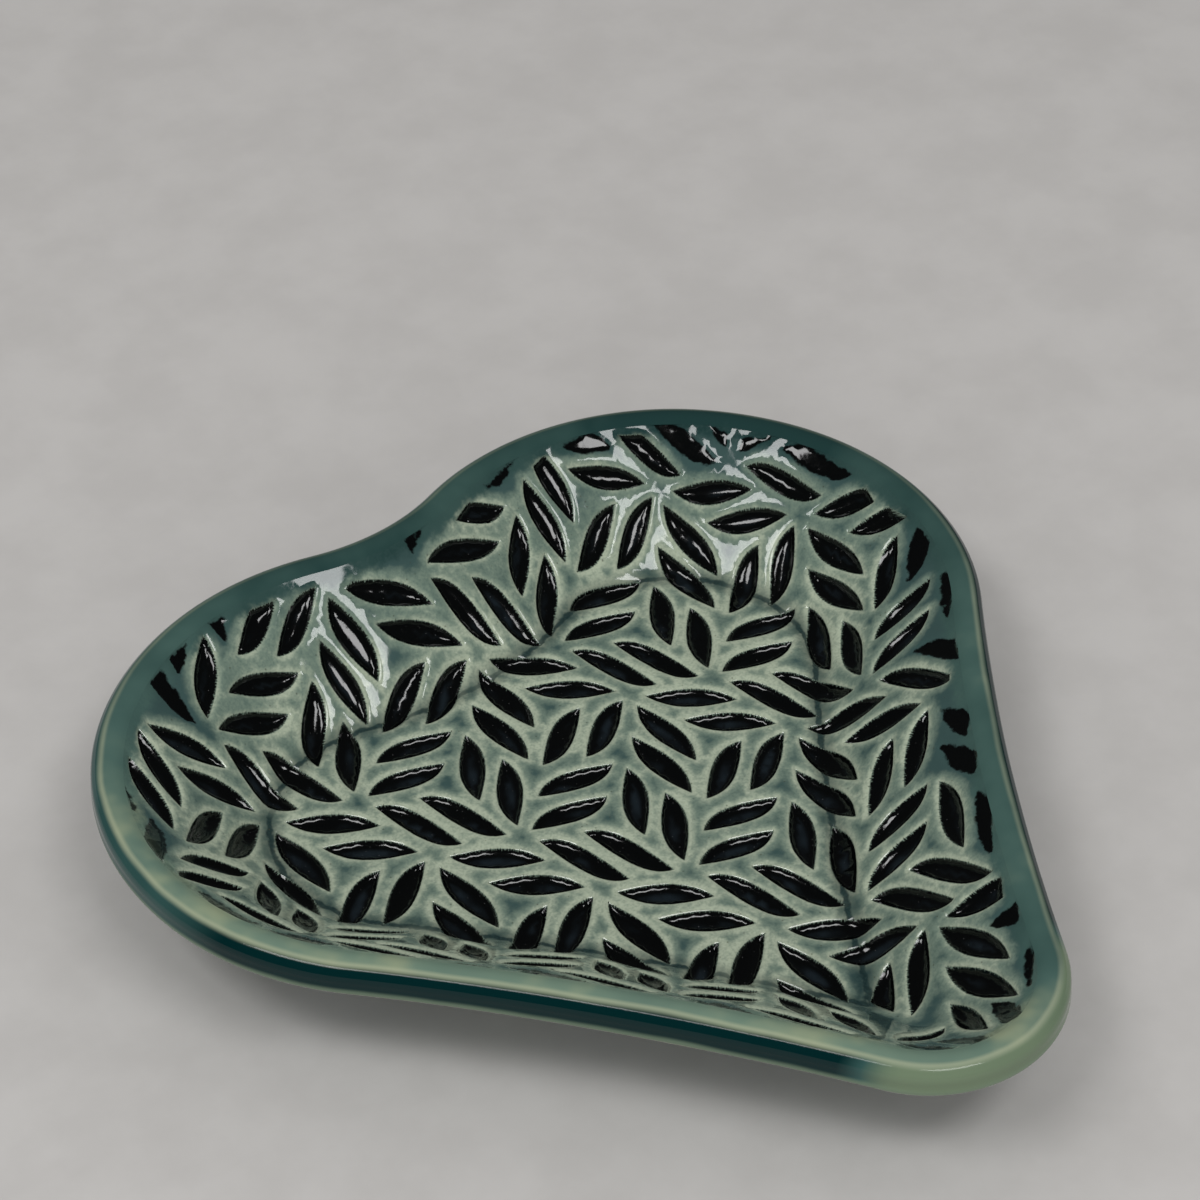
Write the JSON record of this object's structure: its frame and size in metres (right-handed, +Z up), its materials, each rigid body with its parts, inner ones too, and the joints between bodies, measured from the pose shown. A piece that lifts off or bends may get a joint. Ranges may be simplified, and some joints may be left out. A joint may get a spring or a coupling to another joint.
{
  "type": "dish",
  "caption": "Small heart shaped slab dish with a flat floor, sloping walls, a rounded rim and a pressed leaf texture filled with black slip under green glaze.",
  "frame": {"origin": "middle of the dish's width and length, on the table plane under the base", "axes": "+Y towards the cleft and the two lobes, so the point of the heart is at -Y; +X to the right seen from above; +Z up out of the dish"},
  "size_m": [0.13, 0.131, 0.02],
  "materials": {
    "bare_clay": "bare fired stoneware",
    "inside_glaze": "glossy celadon glaze, paler on edges",
    "outside_glaze": "glossy teal glaze, breaking pale on the rim",
    "black_slip": "near black slip with a soft gloss"
  },
  "bodies": {
    "root": {"clay_body": "bare_clay", "inside_glaze": "inside_glaze", "outside_glaze": "outside_glaze", "floor_leaf_slip": "black_slip", "crease_leaf_slip": "black_slip", "wall_leaf_slip": "black_slip"}
  },
  "joints": []
}
